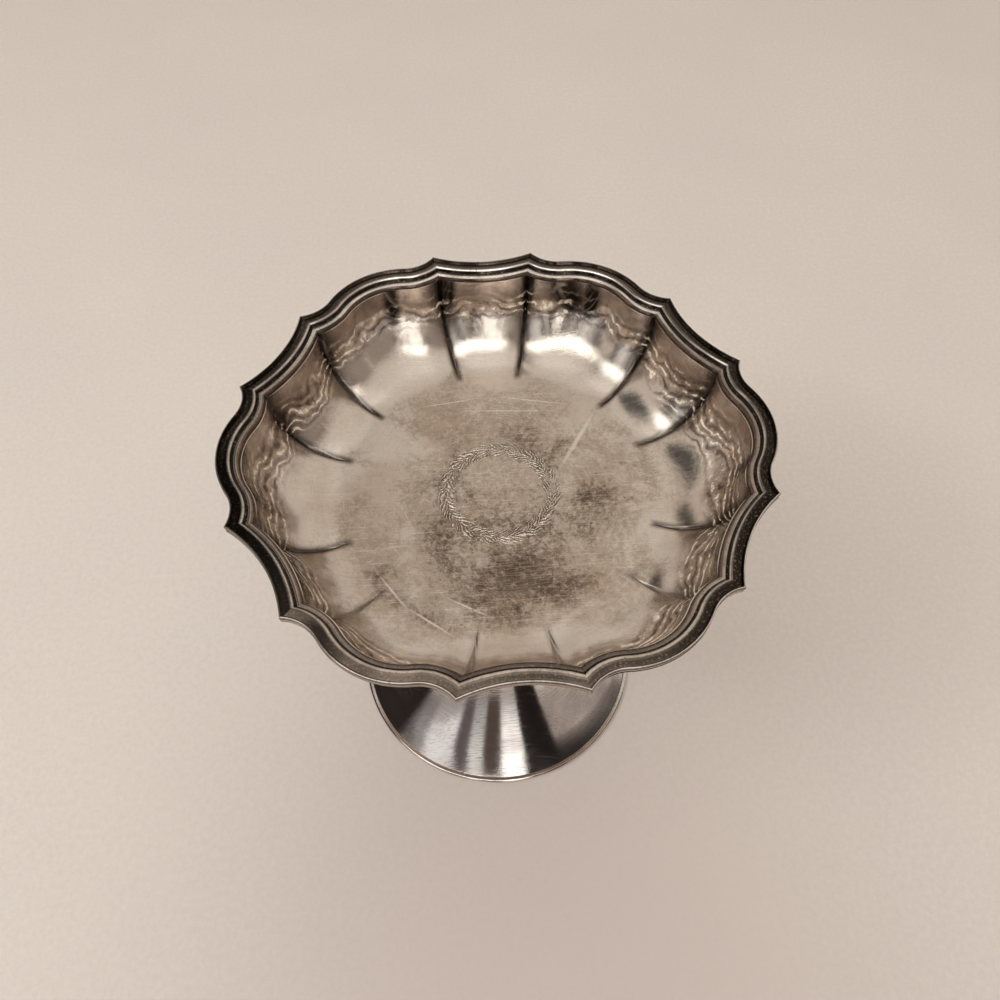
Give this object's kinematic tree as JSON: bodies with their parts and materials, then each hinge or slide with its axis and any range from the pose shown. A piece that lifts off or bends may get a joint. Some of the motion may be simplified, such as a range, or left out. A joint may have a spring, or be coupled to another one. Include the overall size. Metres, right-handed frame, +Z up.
{
  "type": "footed compote bowl",
  "caption": "Shallow fluted metal bowl with a wavy moulded rim, on a trumpet-shaped hollow foot with a thin edge ring.",
  "frame": {"origin": "middle of the foot's underside, in the plane of the table", "axes": "+Z up along the stem; +Y towards the middle of the hollow rim_hollow_1, +X to the right of it seen from the front"},
  "size_m": [0.1664, 0.1614, 0.15],
  "materials": {
    "worn_plate": "silver plate, tarnished and finely scratched",
    "rim_plate": "silver plate, polished, dark in the channels",
    "foot_plate": "silver plate, polished with faint turning lines",
    "solder": "dull grey"
  },
  "bodies": {
    "root": {"bowl": "worn_plate", "rim_lobe_1": "rim_plate", "rim_lobe_2": "rim_plate", "rim_lobe_3": "rim_plate", "rim_lobe_4": "rim_plate", "rim_lobe_5": "rim_plate", "rim_lobe_6": "rim_plate", "rim_hollow_1": "rim_plate", "rim_hollow_2": "rim_plate", "rim_hollow_3": "rim_plate", "rim_hollow_4": "rim_plate", "rim_hollow_5": "rim_plate", "rim_hollow_6": "rim_plate", "foot": "foot_plate", "foot_edge_ring": "foot_plate", "neck_solder": "solder"}
  },
  "joints": []
}
